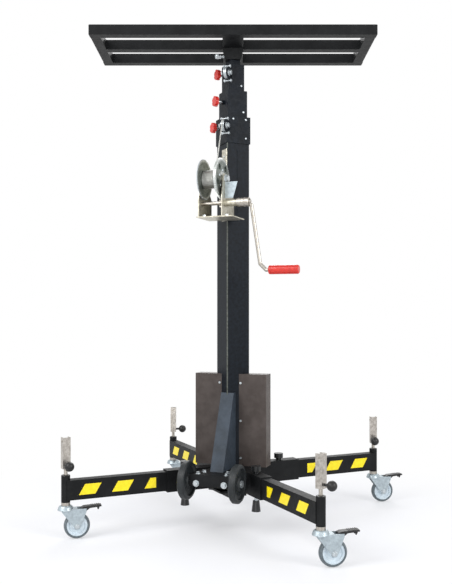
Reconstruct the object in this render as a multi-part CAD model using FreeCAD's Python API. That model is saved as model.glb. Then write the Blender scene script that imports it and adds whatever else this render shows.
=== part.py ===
import FreeCAD, Part
import math
import os

# Manual telescopic stacker: square mast of four sections, hand winch, carrying frame and four outriggers.
# Millimetres, +Z up, front is -Y. The origin is on the floor below the mast's axis.

V = FreeCAD.Vector
UP = V(0, 0, 1)
RIGHT = V(1, 0, 0)
BACK = V(0, 1, 0)

# Clearances
SEAT = 0.3
RUN = 0.3
BOLT_PLAY = 0.05

# Mast
MAST_SIDES = [100.0, 80.0, 62.0, 46.0]
MAST_WALL = 4.0
MAST_TURN = 45.0
COLLAR_WALL = 4.0
COLLAR_H = 110.0
MAST_HEIGHT = 1666.0
SECTION_RISE = 12.0
HEAD_STUB = 20.0
PAD_H = 60.0
CAP_T = 8.0

# Base
BASE_FLOOR = 135.0
BASE_PLATE = 8.0
BASE_PLATE_SIDE = 210.0
FOOT_BLOCK_SIDE = 84.0
FOOT_BLOCK_H = 34.0
DECK_T = 5.0
DECK_HALF = 88.0
DECK_NECK_HALF = 30.0
DECK_NECK_Y = -45.0
SOCKET_WALL = 5.0
SOCKET_END = 300.0

# Outriggers
LEG_ANGLES = [225.0, 315.0, 45.0, 135.0]
LEG_W = 40.0
LEG_H = 76.0
LEG_WALL = 3.0
LEG_START = 110.0
LEG_REACH = 702.0
SLEEVE_R = 17.0
SLEEVE_DROP = 8.0
SLEEVE_RISE = 16.0

# Screw jacks with fold-down cranks
SCREW_R = 7.0
SCREW_TOP = 372.0
JACK_COLLAR_R = 17.0
JACK_COLLAR_H = 12.0
KINGPIN = 14.0
JACK_YAWS = [-40.0, -20.0, -70.0, 20.0]
ARM_W = 30.0
ARM_WALL = 3.0
ARM_DEPTH = 20.0
ARM_LENGTH = 104.0
ARM_PIN_R = 3.5
ARM_KNOB_R = 13.5
ARM_KNOB_REACH = 44.0
ARM_STEM_R = 5.0

# Castors
WHEEL_R = 50.0
WHEEL_W = 30.0
WHEEL_BORE = 6.0
HUB_R = 17.0
TREAD_ROUND = 6.0
TRAIL = 42.0
CASTOR_YAWS = [35.0, 30.0, 30.0, 25.0]
FORK_PLATE = 3.0
FORK_GAP = 36.0
DOME_R = 29.0
DOME_H = 17.0
FORK_BOSS_R = 14.0
PEDAL_TIP = 134.0
PEDAL_PIN_X = 70.0
PEDAL_PIN_R = 3.0
PEDAL_T = 7.0
PEDAL_W = 30.0

# Stabiliser screws at the outrigger roots
FOOT_REACH = 215.0
FOOT_SCREW_R = 7.0
FOOT_TOP_R = 13.0
FOOT_BOTTOM_R = 18.0
FOOT_BOTTOM = 80.0
FOOT_H = 42.0
FOOT_KNOB_R = 19.0
FOOT_KNOB_H = 20.0
KNOB_LOBES = 8
KNOB_GROOVE = 3.0

# Transport wheels and their axle beam
TRANSPORT_R = 75.0
TRANSPORT_W = 30.0
TRANSPORT_X = 105.0
AXLE_R = 9.0
AXLE_Y = -240.0
AXLE_Z = 201.0
AXLE_END = 12.0
BEAM_H = 46.0
BEAM_D = 44.0
BEAM_WALL = 5.0
BEAM_HALF = 86.0

# Front brace
BRACE_W = 55.0
BRACE_WALL = 4.0
BRACE_TOP = 532.0
BRACE_FOOT_Y = -190.0

# Side housings
HOUSING_INNER = 36.0
HOUSING_OUTER = 155.0
HOUSING_FRONT = -33.0
HOUSING_BACK = 28.0
HOUSING_TOP = 607.0
HOUSING_WALL = 3.0
HOUSING_BOLT_R = 4.5
HOUSING_BOLT_H = 4.0
HOUSING_BOLT_INSET = 10.0
HOUSING_BOLT_HEIGHTS = [262.0, 415.0, 570.0]

# Lifting frame
FRAME_W = 1130.0
FRAME_D = 400.0
RAIL = 40.0
RAIL_WALL = 2.5
FRAME_TURN = 20.0
HEAD_PIN_R = 15.0
HEAD_TOP_SIDE = 84.0
HEAD_BOTTOM_SIDE = 66.0
HEAD_H = 44.0
SPINE_W = 84.0
CLAMP_R = 5.0
CLAMP_Z = 20.0
CLAMP_LENGTH = 62.0
WING_R = 11.0
WING_T = 5.0

# Rope sheaves on the mast collars
SHEAVE_R = 24.0
SHEAVE_W = 12.0
SHEAVE_BOLT_R = 5.0
SHEAVE_GAP = 4.0
CHEEK_T = 3.0
CHEEK_PLAY = 1.5
SHEAVE_Z = 62.0
ROPE_R = 2.5
ROPE_TAIL = 20.0

# Lock knobs on the collars
LOCK_STEM_R = 5.0
LOCK_STEM = 26.0
LOCK_HEAD_R = 21.0
LOCK_HEAD_T = 14.0
LOCK_LOBES = 6
LOCK_GROOVE = 5.0
LOCK_BOSS_R = 9.0
LOCK_BOSS_T = 8.0
LOCK_DROP = 44.64

# Winch
WINCH_Y = -168.0
DRUM_Z = 1391.0
DRUM_LEFT = -62.0
DRUM_RIGHT = 9.0
DRUM_CORE_R = 24.0
WINDING_R = 34.0
FLANGE_R = 79.0
FLANGE_T = 3.0
FLANGE_STEP = 6.0
DRUM_BOLT_R = 7.0
GEAR_MODULE = 2.5
GEAR_TEETH = 64
PINION_TEETH = 13
GEAR_T = 8.0
TOOTH_HEIGHT = 0.85
TOOTH_ROOT = 1.2
TOOTH_TIP_SHARE = 0.11
TOOTH_PITCH_SHARE = 0.215
TOOTH_BASE_SHARE = 0.34
GEAR_WINDOW_R = 12.0
GEAR_WINDOW_REACH = 54.0
GEAR_WINDOWS = 5
CHEEK_LEFT = -72.0
CHEEK_RIGHT = 26.0
FRAME_T = 4.0
TRAY_LEFT = -78.0
TRAY_RIGHT = 74.0
TRAY_DROP = 58.75
TRAY_LIP = 4.0
TRAY_FRONT = -212.0
BRACKET_GAP = 26.0
BRACKET_T = 4.0
BRACKET_LEG = 46.0
CHEEK_TOP_HALF = 20.0
CHEEK_TOP_RISE = 18.0
CHEEK_BACK_RISE = 24.0
CHEEK_FRONT_RISE = 20.0
BUSH_WALL = 6.0
CRANK_SHAFT_R = 8.0
CRANK_HUB_R = 15.0
CRANK_HUB_START = 76.0
CRANK_HUB_END = 128.0
CRANK_THROW = 268.0
CRANK_OFFSET = 46.0
CRANK_BEND = 24.0
CRANK_ROD_R = 7.5
GRIP_GAP = 4.0
GRIP_LENGTH = 122.0
GRIP_R = 18.0

# Worked-out places
GEAR_PITCH_R = GEAR_MODULE * GEAR_TEETH / 2
PINION_PITCH_R = GEAR_MODULE * PINION_TEETH / 2
CRANK_Z = DRUM_Z - GEAR_PITCH_R - PINION_PITCH_R
TRAY_Z = CRANK_Z - TRAY_DROP
BRACKET_TOP = MAST_HEIGHT - COLLAR_H - BRACKET_GAP
BASE_TOP = BASE_FLOOR + BASE_PLATE
LEG_Z = BASE_TOP + SOCKET_WALL + RUN
SOCKET_W = LEG_W + 2 * (RUN + SOCKET_WALL)
SOCKET_H = LEG_H + 2 * (RUN + SOCKET_WALL)
SOCKET_TOP = BASE_TOP + SOCKET_H
DECK_TOP = SOCKET_TOP
SLEEVE_BOTTOM = LEG_Z - SLEEVE_DROP
SLEEVE_TOP = LEG_Z + LEG_H + SLEEVE_RISE
JACK_COLLAR_TOP = SLEEVE_BOTTOM - SEAT
JACK_COLLAR_BOTTOM = JACK_COLLAR_TOP - JACK_COLLAR_H
DOME_TOP = JACK_COLLAR_BOTTOM - SEAT
ROOT2 = math.sqrt(2.0)


def box(low, high):
    return Part.makeBox(high[0] - low[0], high[1] - low[1], high[2] - low[2], V(*low))


def rod(radius, start, end):
    return Part.makeCylinder(radius, (end - start).Length, start, end - start)


def bar(radius, axis, start, end, place=V(0, 0, 0)):
    return rod(radius, place + axis * start, place + axis * end)


def turned(shape, angle, centre=V(0, 0, 0), axis=UP):
    copy = shape.copy()
    copy.rotate(centre, axis, angle)
    return copy


def moved(shape, offset):
    copy = shape.copy()
    copy.translate(offset)
    return copy


def prism(points, direction):
    wire = Part.makePolygon(points + [points[0]])
    return Part.Face(wire).extrude(direction)


def square(side, low, high):
    half = side / 2
    return turned(box((-half, -half, low), (half, half, high)), MAST_TURN)


def star_knob(radius, thickness, lobes, groove, start, axis):
    knob = bar(radius, axis, 0, thickness, start)
    side = axis.cross(UP) if abs(axis.z) < 0.5 else RIGHT
    for i in range(lobes):
        notch = bar(groove, axis, -1, thickness + 1, start + side * (radius + groove * 0.35))
        knob = knob.cut(turned(notch, 360.0 * i / lobes, start, axis))
    return knob


def radial(angle):
    a = math.radians(angle)
    return V(math.cos(a), math.sin(a), 0)


# Mast sections
def section_top(index):
    return MAST_HEIGHT + index * (COLLAR_H + SEAT)


def section_bottom(index):
    return BASE_TOP + index * SECTION_RISE


def mast_tube(index):
    side = MAST_SIDES[index]
    low = section_bottom(index)
    high = section_top(index) if index < 3 else section_top(2) + HEAD_STUB
    tube = square(side, low, high).cut(square(side - 2 * MAST_WALL, low - 1, high + 1))
    return tube


def slide_pads(index):
    outer = MAST_SIDES[index - 1] - 2 * MAST_WALL - 2 * RUN
    low = section_bottom(index)
    return square(outer, low, low + PAD_H).cut(square(MAST_SIDES[index], low - 1, low + PAD_H + 1))


def inner_section(index):
    tube = mast_tube(index)
    return tube.fuse(slide_pads(index)).removeSplitter()


def collar(index, with_sheave):
    side = MAST_SIDES[index] + 2 * COLLAR_WALL
    high = section_top(index)
    low = high - COLLAR_H
    shell = square(side, low, high)
    if with_sheave:
        axis_z = low + SHEAVE_Z
        inner = SHEAVE_W / 2 + CHEEK_PLAY
        for sign in (-1, 1):
            x = sorted((sign * inner, sign * (inner + CHEEK_T)))
            nose = sheave_y(index)
            plate = box((x[0], nose, axis_z - SHEAVE_R), (x[1], 0, axis_z + SHEAVE_R))
            tip = bar(SHEAVE_R, RIGHT, x[0], x[1], V(0, nose, axis_z))
            shell = shell.fuse(plate).fuse(tip)
    shell = shell.cut(square(MAST_SIDES[index], low - 1, high + 1))
    if with_sheave:
        reach = SHEAVE_W / 2 + CHEEK_PLAY + CHEEK_T
        bolt = bar(SHEAVE_BOLT_R, RIGHT, -reach - 6, reach + 6, V(0, sheave_y(index), axis_z))
        shell = shell.fuse(bolt)
    face = radial(LEG_ANGLES[0])
    boss_z = high - LOCK_DROP
    start = face * (side / 2 - 1) + UP * boss_z
    boss = bar(LOCK_BOSS_R, face, 0, LOCK_BOSS_T + 1, start)
    shell = shell.fuse(boss)
    hole = bar(LOCK_STEM_R + BOLT_PLAY, face, -COLLAR_WALL - 2, LOCK_BOSS_T + 4, start)
    return shell.cut(hole)


def sheave_y(index):
    corner = (MAST_SIDES[index] / 2 + COLLAR_WALL) * ROOT2
    return -(corner + SHEAVE_GAP + SHEAVE_R)


def sheave(index):
    axis_z = section_top(index) - COLLAR_H + SHEAVE_Z
    centre = V(0, sheave_y(index), axis_z)
    half = SHEAVE_W / 2
    wheel = bar(SHEAVE_R, RIGHT, -half, half, centre)
    groove = Part.makeTorus(SHEAVE_R + 1.0, ROPE_R + RUN, centre, RIGHT)
    bore = bar(SHEAVE_BOLT_R + BOLT_PLAY, RIGHT, -half - 1, half + 1, centre)
    return wheel.cut(groove).cut(bore)


def lock_knob(index):
    face = radial(LEG_ANGLES[0])
    z = section_top(index) - LOCK_DROP
    outside = MAST_SIDES[index] / 2 + COLLAR_WALL + LOCK_BOSS_T
    tube_face = MAST_SIDES[index] / 2 + SEAT
    stem = bar(LOCK_STEM_R, face, tube_face, outside + LOCK_STEM, UP * z)
    start = face * (outside + LOCK_STEM - LOCK_HEAD_T * 0.4) + UP * z
    head = star_knob(LOCK_HEAD_R, LOCK_HEAD_T, LOCK_LOBES, LOCK_GROOVE, start, face)
    return stem.fuse(head)


# Base weldment with the four outrigger sockets
def leg_socket(angle):
    half = SOCKET_W / 2
    start = MAST_SIDES[0] / 2
    body = box((start, -half, BASE_TOP), (SOCKET_END, half, SOCKET_TOP))
    slot = LEG_W / 2 + RUN
    hollow = box((LEG_START - 1, -slot, LEG_Z - RUN), (SOCKET_END + 1, slot, LEG_Z + LEG_H + RUN))
    return turned(body.cut(hollow), angle)


def foot_hole(angle):
    place = radial(angle) * FOOT_REACH
    return bar(FOOT_SCREW_R + RUN, UP, BASE_FLOOR - 1, SOCKET_TOP + 1, place)


def base_frame():
    half = BASE_PLATE_SIDE / 2
    plate = turned(box((-half, -half, BASE_FLOOR), (half, half, BASE_TOP)), MAST_TURN)
    block_low = BASE_FLOOR - FOOT_BLOCK_H
    frame = plate.fuse(square(FOOT_BLOCK_SIDE, block_low, BASE_FLOOR))
    for angle in LEG_ANGLES:
        frame = frame.fuse(leg_socket(angle))
    beam_back = AXLE_Y + BEAM_D / 2
    low = DECK_TOP - DECK_T
    outline = [
        V(-DECK_HALF, beam_back, low),
        V(DECK_HALF, beam_back, low),
        V(DECK_NECK_HALF, DECK_NECK_Y, low),
        V(-DECK_NECK_HALF, DECK_NECK_Y, low),
    ]
    frame = frame.fuse(prism(outline, UP * DECK_T))
    frame = frame.cut(square(MAST_SIDES[0], BASE_TOP, DECK_TOP + 1))
    slot = LEG_W / 2 + RUN
    for angle in LEG_ANGLES:
        hollow = box((LEG_START - 1, -slot, LEG_Z - RUN), (SOCKET_END + 1, slot, LEG_Z + LEG_H + RUN))
        frame = frame.cut(turned(hollow, angle)).cut(foot_hole(angle))
    return frame.removeSplitter()


def front_beam():
    front = AXLE_Y - BEAM_D / 2
    back = AXLE_Y + BEAM_D / 2
    low = DECK_TOP - BEAM_H
    outer = box((-BEAM_HALF, front, low), (BEAM_HALF, back, DECK_TOP))
    inner = box(
        (-BEAM_HALF + BEAM_WALL, front + BEAM_WALL, low - 1),
        (BEAM_HALF - BEAM_WALL, back - BEAM_WALL, DECK_TOP - BEAM_WALL),
    )
    hole = bar(AXLE_R + BOLT_PLAY, RIGHT, -BEAM_HALF - 1, BEAM_HALF + 1, V(0, AXLE_Y, AXLE_Z))
    return outer.cut(inner).cut(hole)


def transport_axle():
    end = TRANSPORT_X + TRANSPORT_W / 2 + SEAT
    centre = V(0, AXLE_Y, AXLE_Z)
    axle = bar(AXLE_R, RIGHT, -end, end, centre)
    for sign in (-1, 1):
        cap = bar(AXLE_R + 5, RIGHT * sign, end, end + AXLE_END / 2, centre)
        axle = axle.fuse(cap)
    return axle


def transport_wheel(sign):
    half = TRANSPORT_W / 2
    start = V(sign * TRANSPORT_X - half, AXLE_Y, AXLE_Z)
    profile = [
        (AXLE_R + RUN, 0), (24, 0), (27, 6), (TRANSPORT_R - 20, 6), (TRANSPORT_R - 15, 0),
        (TRANSPORT_R - 5, 1), (TRANSPORT_R, 6),
    ]
    mirrored = [(r, TRANSPORT_W - x) for r, x in reversed(profile)]
    points = [V(start.x + x, start.y, start.z + r) for r, x in profile + mirrored]
    face = Part.Face(Part.makePolygon(points + [points[0]]))
    return face.revolve(start, RIGHT, 360)


def mast_brace():
    corner = MAST_SIDES[0] / 2 * ROOT2
    half = BRACE_W / 2

    def profile(inset, width):
        points = [
            V(-width, BRACE_FOOT_Y + inset, DECK_TOP),
            V(-width, -corner + 4 + inset, BRACE_TOP + inset),
            V(-width, -corner + 28, BRACE_TOP + inset),
            V(-width, -corner + 28, DECK_TOP),
        ]
        return prism(points, RIGHT * 2 * width)

    hollow = moved(profile(BRACE_WALL * 1.1, half - BRACE_WALL), V(0, 0, -0.01))
    brace = profile(0, half).cut(hollow)
    return brace.cut(square(MAST_SIDES[0], DECK_TOP - 1, BRACE_TOP + 20))


def side_housing(sign):
    low = DECK_TOP
    outer = box((HOUSING_INNER, HOUSING_FRONT, low), (HOUSING_OUTER, HOUSING_BACK, HOUSING_TOP))
    wall = HOUSING_WALL
    inner = box(
        (0, HOUSING_FRONT + wall, low - 1),
        (HOUSING_OUTER - wall, HOUSING_BACK - wall, HOUSING_TOP - wall),
    )
    shell = outer.cut(inner).cut(square(MAST_SIDES[0], low - 1, HOUSING_TOP + 1))
    if sign < 0:
        shell = shell.mirror(V(0, 0, 0), RIGHT)
    return shell


# Outrigger with its end sleeve
def outrigger(angle):
    half = LEG_W / 2
    end = LEG_REACH
    tube = box((LEG_START, -half, LEG_Z), (end, half, LEG_Z + LEG_H))
    inner = half - LEG_WALL
    tube = tube.cut(box((LEG_START - 1, -inner, LEG_Z + LEG_WALL), (end, inner, LEG_Z + LEG_H - LEG_WALL)))
    place = V(LEG_REACH, 0, 0)
    sleeve = bar(SLEEVE_R, UP, SLEEVE_BOTTOM, SLEEVE_TOP, place)
    leg = tube.cut(box((end - 1, -half, LEG_Z - 1), (end + 1, half, LEG_Z + LEG_H + 1))).fuse(sleeve)
    leg = leg.cut(bar(SCREW_R + RUN, UP, SLEEVE_BOTTOM - 1, SLEEVE_TOP + 1, place))
    leg = turned(leg, angle)
    return leg.cut(foot_hole(angle))


def jack_screw(angle, yaw):
    place = radial(angle) * LEG_REACH
    screw = bar(SCREW_R, UP, JACK_COLLAR_BOTTOM - KINGPIN, SCREW_TOP + SCREW_R, place)
    screw = screw.fuse(bar(JACK_COLLAR_R, UP, JACK_COLLAR_BOTTOM, JACK_COLLAR_TOP, place))
    across = turned(bar(ARM_PIN_R, BACK, -ARM_W / 2 - 2, ARM_W / 2 + 2, UP * SCREW_TOP), yaw)
    return screw.fuse(moved(across, place))


def jack_crank(angle, yaw):
    place = radial(angle) * LEG_REACH
    half = ARM_W / 2
    low = SCREW_TOP - ARM_LENGTH
    high = SCREW_TOP + half
    back = -half + 3
    outer = box((back, -half, low), (back + ARM_DEPTH + 6, half, high))
    web = back + ARM_DEPTH + 6 - ARM_WALL
    inner = box((back - 1, -half + ARM_WALL, low - 1), (web, half - ARM_WALL, high + 1))
    arm = outer.cut(inner)
    arm = arm.cut(bar(ARM_PIN_R + RUN, BACK, -half - 1, half + 1, UP * SCREW_TOP))
    knob_z = low + ARM_KNOB_R
    face = back + ARM_DEPTH + 6
    stem = bar(ARM_STEM_R, RIGHT, face - ARM_WALL, face + ARM_KNOB_REACH - ARM_KNOB_R, UP * knob_z)
    ball = Part.makeSphere(ARM_KNOB_R, V(face + ARM_KNOB_REACH - ARM_KNOB_R, 0, knob_z))
    return moved(turned(arm.fuse(stem).fuse(ball), yaw), place)


# Castor, built at the swivel axis with its wheel trailing along +X
def castor_fork(angle, yaw):
    inner = FORK_GAP / 2
    outer = inner + FORK_PLATE
    low = DOME_TOP - DOME_H
    dome = Part.makeCone(DOME_R, DOME_R * 0.72, DOME_H, V(0, 0, low))
    bridge = box((0, -outer, low), (PEDAL_PIN_X * 0.62, outer, low + 5))
    fork = dome.fuse(bridge)
    for sign in (-1, 1):
        y = inner if sign > 0 else -outer
        outline = [
            V(-DOME_R * 0.55, y, low + 5),
            V(PEDAL_PIN_X + 7, y, low + 5),
            V(PEDAL_PIN_X + 7, y, low - 6),
            V(TRAIL + FORK_BOSS_R, y, WHEEL_R),
            V(TRAIL + 8, y, WHEEL_R - 12),
            V(TRAIL - 8, y, WHEEL_R - 12),
            V(TRAIL - FORK_BOSS_R, y, WHEEL_R),
            V(-DOME_R * 0.55, y, low - 4),
        ]
        fork = fork.fuse(prism(outline, BACK * FORK_PLATE))
    axle = bar(WHEEL_BORE, BACK, -outer - 4, outer + 4, V(TRAIL, 0, WHEEL_R))
    pin = bar(PEDAL_PIN_R, BACK, -outer, outer, V(PEDAL_PIN_X, 0, low))
    fork = fork.fuse(axle).fuse(pin)
    fork = fork.cut(bar(SCREW_R + RUN, UP, DOME_TOP - KINGPIN - 1, DOME_TOP + 1))
    return moved(turned(fork, yaw), radial(angle) * LEG_REACH)


def castor_wheel(angle, yaw):
    half = WHEEL_W / 2
    profile = [
        (WHEEL_BORE + RUN, -half - 2), (HUB_R, -half - 2), (HUB_R + 3, -half + 5),
        (WHEEL_R - 14, -half + 5), (WHEEL_R - 11, -half), (WHEEL_R - TREAD_ROUND, -half),
        (WHEEL_R - 1.5, -half + 4.5), (WHEEL_R, -half + 10),
    ]
    mirrored = [(r, -y) for r, y in reversed(profile)]
    centre = V(TRAIL, 0, WHEEL_R)
    points = [centre + V(0, y, r) for r, y in profile + mirrored]
    wheel = Part.Face(Part.makePolygon(points + [points[0]])).revolve(centre, BACK, 360)
    return moved(turned(wheel, yaw), radial(angle) * LEG_REACH)


def brake_pedal(angle, yaw):
    low = DOME_TOP - DOME_H
    half = PEDAL_W / 2
    y = -half
    outline = [
        V(PEDAL_PIN_X - 12, y, low - 1),
        V(PEDAL_PIN_X + 6, y, low - 5),
        V(PEDAL_PIN_X + 14, y, low + 3),
        V(PEDAL_TIP, y, low + 20),
        V(PEDAL_TIP, y, low + 20 + PEDAL_T),
        V(PEDAL_PIN_X + 20, y, low + 16),
        V(PEDAL_PIN_X - 12, y, low + 5),
    ]
    pedal = prism(outline, BACK * PEDAL_W)
    pedal = pedal.cut(bar(PEDAL_PIN_R + BOLT_PLAY, BACK, -half - 1, half + 1, V(PEDAL_PIN_X, 0, low)))
    return moved(turned(pedal, yaw), radial(angle) * LEG_REACH)


def stabiliser(angle):
    place = radial(angle) * FOOT_REACH
    foot = Part.makeCone(FOOT_BOTTOM_R, FOOT_TOP_R, FOOT_H, place + UP * FOOT_BOTTOM)
    knob_low = SOCKET_TOP + SEAT
    screw = bar(FOOT_SCREW_R, UP, FOOT_BOTTOM + FOOT_H / 2, knob_low + FOOT_KNOB_H, place)
    start = place + UP * (knob_low + 8)
    knob = star_knob(FOOT_KNOB_R, FOOT_KNOB_H, KNOB_LOBES, KNOB_GROOVE, start, UP)
    neck = bar(FOOT_SCREW_R + 4, UP, knob_low, knob_low + 9, place)
    return foot.fuse(screw).fuse(neck).fuse(knob)


# Lifting frame on the swivelling head
HEAD_BOTTOM = section_top(2) + HEAD_STUB + SEAT
RAIL_BOTTOM = HEAD_BOTTOM + HEAD_H
RAIL_TOP = RAIL_BOTTOM + RAIL


def top_section():
    tube = inner_section(3)
    stub = section_top(2) + HEAD_STUB
    cap = square(MAST_SIDES[3] - 2 * MAST_WALL, stub - CAP_T, stub)
    pin = bar(HEAD_PIN_R, UP, stub - CAP_T, RAIL_BOTTOM - 4)
    return tube.fuse(cap).fuse(pin).removeSplitter()


def rail_tube(low, high, axis):
    outer = box(low, high)
    wall = RAIL_WALL
    grow = 1.0
    inner_low = [low[i] - grow if i == axis else low[i] + wall for i in range(3)]
    inner_high = [high[i] + grow if i == axis else high[i] - wall for i in range(3)]
    return outer.cut(box(inner_low, inner_high))


def platform_rail(y_low):
    half = FRAME_W / 2
    rail = rail_tube((-half, y_low, RAIL_BOTTOM), (half, y_low + RAIL, RAIL_TOP), 0)
    return turned(rail, FRAME_TURN)


def platform_cross_rails():
    reach = FRAME_W / 2 - RAIL
    rails = [turned(platform_rail(FRAME_D / 2 - RAIL), -FRAME_TURN)]
    for sign in (-1, 1):
        x = sorted((sign * SPINE_W / 2, sign * reach))
        rails.append(rail_tube((x[0], -RAIL / 2, RAIL_BOTTOM), (x[1], RAIL / 2, RAIL_TOP), 0))
    return turned(Part.makeCompound(rails), FRAME_TURN)


def platform_side_rail(sign):
    y = FRAME_D / 2 - RAIL
    x = sorted((sign * FRAME_W / 2, sign * (FRAME_W / 2 - RAIL)))
    rail = rail_tube((x[0], -y, RAIL_BOTTOM), (x[1], y, RAIL_TOP), 1)
    return turned(rail, FRAME_TURN)


def platform_head():
    y = FRAME_D / 2 - RAIL
    half = SPINE_W / 2
    wall = 4.0
    spine = box((-half, -y, RAIL_BOTTOM), (half, y, RAIL_TOP))
    spine = spine.cut(box((-half + wall, -y - 1, RAIL_BOTTOM + wall), (half - wall, y + 1, RAIL_TOP - wall)))
    bottom = HEAD_BOTTOM_SIDE / 2
    top = HEAD_TOP_SIDE / 2

    def ring_wire(reach, z):
        points = [V(-reach, -reach, z), V(reach, -reach, z), V(reach, reach, z), V(-reach, reach, z)]
        return Part.makePolygon(points + [points[0]])

    cone = Part.makeLoft([ring_wire(bottom, HEAD_BOTTOM), ring_wire(top, RAIL_BOTTOM)], True)
    head = spine.fuse(cone)
    head = head.cut(bar(HEAD_PIN_R + BOLT_PLAY, UP, HEAD_BOTTOM - 1, RAIL_BOTTOM + wall))
    hole = bar(CLAMP_R + BOLT_PLAY, -RIGHT, HEAD_PIN_R - 1, HEAD_TOP_SIDE, UP * (HEAD_BOTTOM + CLAMP_Z))
    return turned(head.cut(hole), FRAME_TURN)


def head_clamp():
    z = HEAD_BOTTOM + CLAMP_Z
    screw = bar(CLAMP_R, -RIGHT, HEAD_PIN_R + SEAT, CLAMP_LENGTH, UP * z)
    centre = V(-CLAMP_LENGTH - 2, 0, z)
    hub = bar(CLAMP_R + 3, -RIGHT, CLAMP_LENGTH - 12, CLAMP_LENGTH + 6, UP * z)
    wings = []
    for sign in (-1, 1):
        middle = centre + BACK * sign * WING_R
        wings.append(rod(WING_R, middle - UP * WING_T / 2, middle + UP * WING_T / 2))
    clamp = screw.fuse(hub).fuse(wings[0]).fuse(wings[1])
    return turned(clamp, FRAME_TURN)


# Winch
def gear_face(teeth, x, tooth_phase):
    pitch_r = GEAR_MODULE * teeth / 2
    tip_r = pitch_r + GEAR_MODULE * TOOTH_HEIGHT
    root_r = pitch_r - GEAR_MODULE * TOOTH_ROOT
    step = 2 * math.pi / teeth
    points = []
    for i in range(teeth):
        for radius, share in (
            (root_r, -TOOTH_BASE_SHARE), (pitch_r, -TOOTH_PITCH_SHARE), (tip_r, -TOOTH_TIP_SHARE),
            (tip_r, TOOTH_TIP_SHARE), (pitch_r, TOOTH_PITCH_SHARE), (root_r, TOOTH_BASE_SHARE),
        ):
            angle = (i + tooth_phase + share) * step
            points.append(V(x, radius * math.sin(angle), radius * math.cos(angle)))
    return Part.Face(Part.makePolygon(points + [points[0]]))


def winch_gear():
    gear = gear_face(GEAR_TEETH, DRUM_RIGHT, 0.0).extrude(RIGHT * GEAR_T)
    low = DRUM_RIGHT - 1
    high = DRUM_RIGHT + GEAR_T + 1
    window = bar(GEAR_WINDOW_R, RIGHT, low, high, UP * GEAR_WINDOW_REACH)
    step = 360.0 / GEAR_WINDOWS
    for i in range(GEAR_WINDOWS):
        gear = gear.cut(turned(window, step * (i + 0.5), V(0, 0, 0), RIGHT))
    gear = gear.cut(bar(DRUM_BOLT_R + RUN, RIGHT, low, high))
    return moved(gear, V(0, WINCH_Y, DRUM_Z))


def winch_drum():
    centre = V(0, WINCH_Y, DRUM_Z)
    core = bar(DRUM_CORE_R, RIGHT, DRUM_LEFT, DRUM_RIGHT, centre)
    flange = bar(FLANGE_R, RIGHT, DRUM_LEFT, DRUM_LEFT + FLANGE_T, centre)
    winding = bar(WINDING_R, RIGHT, DRUM_LEFT + FLANGE_T, DRUM_RIGHT - FLANGE_T, centre)
    inner_flange = bar(FLANGE_R - FLANGE_STEP, RIGHT, DRUM_RIGHT - FLANGE_T, DRUM_RIGHT, centre)
    drum = core.fuse(flange).fuse(winding).fuse(inner_flange)
    return drum.cut(bar(DRUM_BOLT_R + RUN, RIGHT, DRUM_LEFT - 1, DRUM_RIGHT + 1, centre))


def winch_frame():
    corner = (MAST_SIDES[0] / 2 + BRACKET_T) * ROOT2
    back = -corner + 6
    frame = box((TRAY_LEFT, TRAY_FRONT, TRAY_Z), (TRAY_RIGHT, back, TRAY_Z + FRAME_T))
    for x in (CHEEK_LEFT, CHEEK_RIGHT):
        outline = [
            V(x, TRAY_FRONT + TRAY_LIP, TRAY_Z),
            V(x, back, TRAY_Z),
            V(x, back, CRANK_Z + CHEEK_BACK_RISE),
            V(x, WINCH_Y + CHEEK_TOP_HALF, DRUM_Z + CHEEK_TOP_RISE),
            V(x, WINCH_Y - CHEEK_TOP_HALF, DRUM_Z + CHEEK_TOP_RISE),
            V(x, TRAY_FRONT + TRAY_LIP, CRANK_Z + CHEEK_FRONT_RISE),
        ]
        frame = frame.fuse(prism(outline, RIGHT * FRAME_T))
    shaft = V(0, WINCH_Y, CRANK_Z)
    bush = bar(CRANK_SHAFT_R + BUSH_WALL, RIGHT, CHEEK_RIGHT, CRANK_HUB_START - 1, shaft)
    bolt = bar(DRUM_BOLT_R, RIGHT, CHEEK_LEFT - 8, CHEEK_RIGHT + FRAME_T + 10, V(0, WINCH_Y, DRUM_Z))
    frame = frame.fuse(bush).fuse(bolt)
    shaft_hole = bar(CRANK_SHAFT_R + BOLT_PLAY, RIGHT, CHEEK_LEFT - 1, CRANK_HUB_START + 1, shaft)
    frame = frame.cut(shaft_hole)
    frame = frame.cut(square(MAST_SIDES[0] + 2 * BRACKET_T, TRAY_Z - 1, BRACKET_TOP))
    return frame.fuse(winch_bracket()).removeSplitter()


def winch_bracket():
    shell = square(MAST_SIDES[0] + 2 * BRACKET_T, TRAY_Z, BRACKET_TOP)
    shell = shell.cut(square(MAST_SIDES[0], TRAY_Z - 1, BRACKET_TOP + 1))
    reach = BRACKET_LEG / ROOT2
    corner = (MAST_SIDES[0] / 2 + BRACKET_T) * ROOT2
    window = box((-reach, -corner - 1, TRAY_Z), (reach, -corner + reach + 6, BRACKET_TOP))
    return shell.common(window)


def winch_pinion():
    teeth = gear_face(PINION_TEETH, DRUM_RIGHT - 1, 0.5).extrude(RIGHT * (GEAR_T + 2))
    teeth = moved(teeth, V(0, WINCH_Y, CRANK_Z))
    return teeth


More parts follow.
